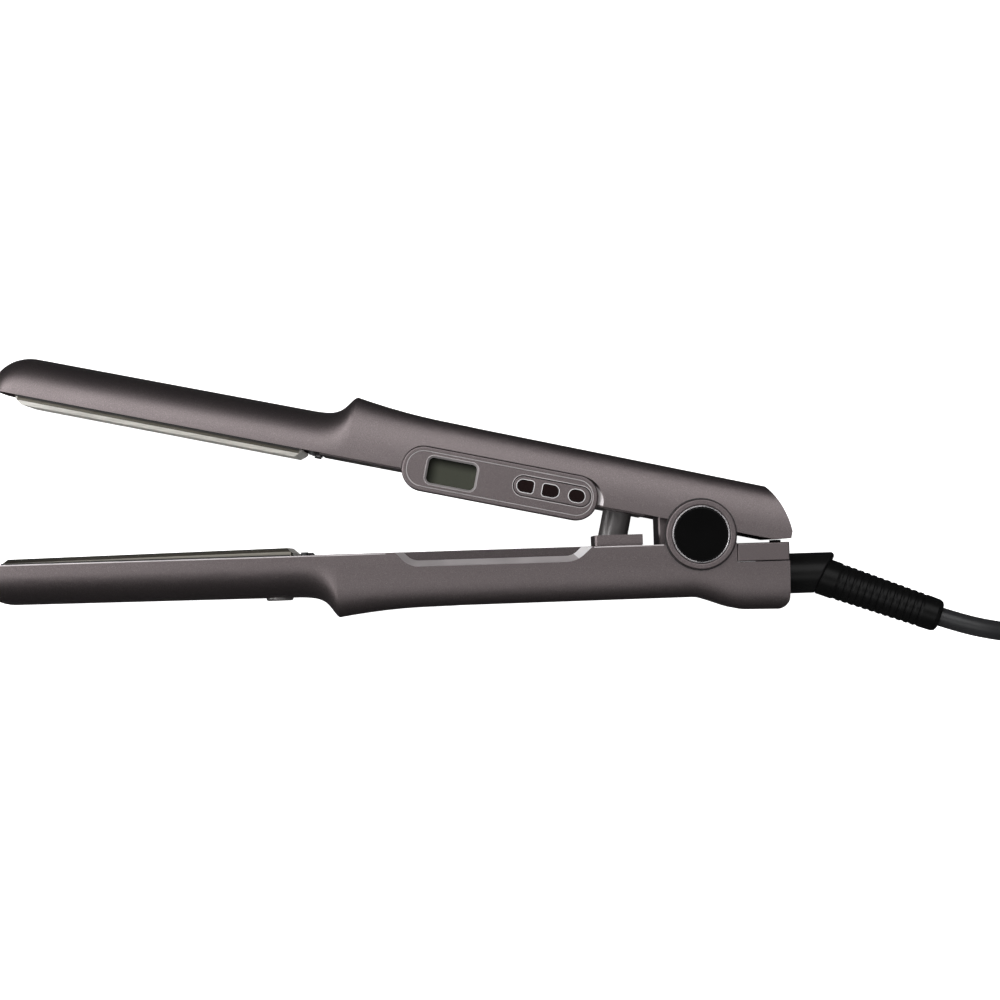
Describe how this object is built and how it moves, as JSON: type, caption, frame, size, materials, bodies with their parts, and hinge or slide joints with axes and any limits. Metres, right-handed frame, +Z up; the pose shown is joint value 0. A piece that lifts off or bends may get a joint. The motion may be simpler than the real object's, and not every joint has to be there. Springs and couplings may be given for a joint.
{
  "type": "flat iron",
  "caption": "Hinged hair straightener with two floating heated plates, a side control pod with display and keys, and a swivel mains cord with a ribbed strain relief.",
  "frame": {"origin": "on the arm hinge's axis, in the plane of the side that the iron lies on", "axes": "+X along the lower arm towards the cord, +Y from the lower arm to the upper arm, +Z up from the resting side to the side with the controls"},
  "size_m": [0.4934, 0.1463, 0.0324],
  "materials": {
    "pearl_lacquer": "gunmetal pearl lacquer, satin sheen",
    "titanium": "titanium-coloured coating, fine brushed",
    "heat_proof_plastic": "moulded, matt",
    "silicone": "silicone pad",
    "ceramic_heater": "plain",
    "steel": "plated",
    "brass": "bright",
    "nylon": "natural",
    "smoked_gloss": "dark pearl gloss",
    "black_gloss": "piano black",
    "chrome": "polished",
    "rear_cap": "gunmetal pearl lacquer",
    "display_lens": "smoked clear lens",
    "display_glass": "unlit grey-green display",
    "board": "green board",
    "wire_sleeve": "glass-fibre sleeve",
    "bumper_rubber": "matt",
    "swivel_plastic": "black moulded, satin",
    "boot_rubber": "black moulded, ribbed",
    "cord_rubber": "black, satin",
    "tie_fabric": "woven strap"
  },
  "bodies": {
    "lower_arm": {"lower_shell": "pearl_lacquer", "lower_inner_cover": "pearl_lacquer", "lower_cover_screws": "steel", "lower_plate_carrier": "heat_proof_plastic", "lower_carrier_screws": "steel", "lower_cushions": "silicone", "lower_foot": "smoked_gloss", "lower_leads": "wire_sleeve", "spring_block": "pearl_lacquer", "tail_insert": "pearl_lacquer", "tail_bumper": "bumper_rubber", "swivel_cage": "heat_proof_plastic", "swivel_contacts": "brass", "hinge_knuckle": "pearl_lacquer", "hinge_pin": "steel", "hinge_washers": "nylon"},
    "upper_arm": {"upper_shell": "pearl_lacquer", "upper_inner_cover": "pearl_lacquer", "upper_cover_screws": "steel", "upper_plate_carrier": "heat_proof_plastic", "upper_carrier_screws": "steel", "upper_cushions": "silicone", "upper_leads": "wire_sleeve", "spring_post": "smoked_gloss", "arm_spring": "steel", "pod_housing": "pearl_lacquer", "display_window": "display_lens", "display_panel": "display_glass", "button_surround": "pearl_lacquer", "key_switches": "heat_proof_plastic", "control_board": "board", "board_screws": "steel", "board_components": "board", "hinge_bushes": "brass", "hinge_bezel": "pearl_lacquer", "hinge_ring": "chrome", "hinge_disc": "black_gloss", "rear_hinge_cap": "rear_cap"},
    "lower_plate_float": {"lower_plate": "titanium", "lower_heater": "ceramic_heater", "thermal_fuse": "steel"},
    "upper_plate_float": {"upper_plate": "titanium", "upper_heater": "ceramic_heater", "heat_sensor": "steel"},
    "minus_key": {"button_minus": "black_gloss"},
    "plus_key": {"button_plus": "black_gloss"},
    "power_key": {"button_power": "black_gloss"},
    "cord_swivel": {"swivel_collar": "swivel_plastic", "swivel_rings": "brass", "cord_boot": "boot_rubber", "cord_lead": "cord_rubber", "cord_coil": "cord_rubber", "cord_tail": "cord_rubber", "cord_tie": "tie_fabric", "plug_body": "swivel_plastic", "plug_blades": "brass"}
  },
  "joints": [
    {"name": "arm_hinge", "type": "hinge", "parent": "lower_arm", "child": "upper_arm", "pos_m": [0, 0, 0], "axis": [0, 0, 1], "range_deg": [0, 12.6], "stiffness_Nm_per_rad": 2, "springref_deg": -6.88, "deforming": ["arm_spring"]},
    {"name": "lower_plate_sink", "type": "slide", "parent": "lower_arm", "child": "lower_plate_float", "axis": [0, -1, 0], "range_m": [0, 0.001], "stiffness_N_per_m": 4000, "springref_m": -0.0005, "deforming": ["lower_cushions"]},
    {"name": "upper_plate_sink", "type": "slide", "parent": "upper_arm", "child": "upper_plate_float", "axis": [0.2181, 0.9759, 0], "range_m": [0, 0.001], "stiffness_N_per_m": 4000, "springref_m": -0.0005, "deforming": ["upper_cushions"]},
    {"name": "minus_press", "type": "slide", "parent": "upper_arm", "child": "minus_key", "axis": [0, 0, -1], "range_m": [0, 0.0006], "stiffness_N_per_m": 1000, "springref_m": -0.0004},
    {"name": "plus_press", "type": "slide", "parent": "upper_arm", "child": "plus_key", "axis": [0, 0, -1], "range_m": [0, 0.0006], "stiffness_N_per_m": 1000, "springref_m": -0.0004},
    {"name": "power_press", "type": "slide", "parent": "upper_arm", "child": "power_key", "axis": [0, 0, -1], "range_m": [0, 0.0006], "stiffness_N_per_m": 1000, "springref_m": -0.0004},
    {"name": "cord_swivel_turn", "type": "hinge", "parent": "lower_arm", "child": "cord_swivel", "pos_m": [0.031, -0.0148, 0.015], "axis": [1, 0, 0], "continuous": true}
  ]
}
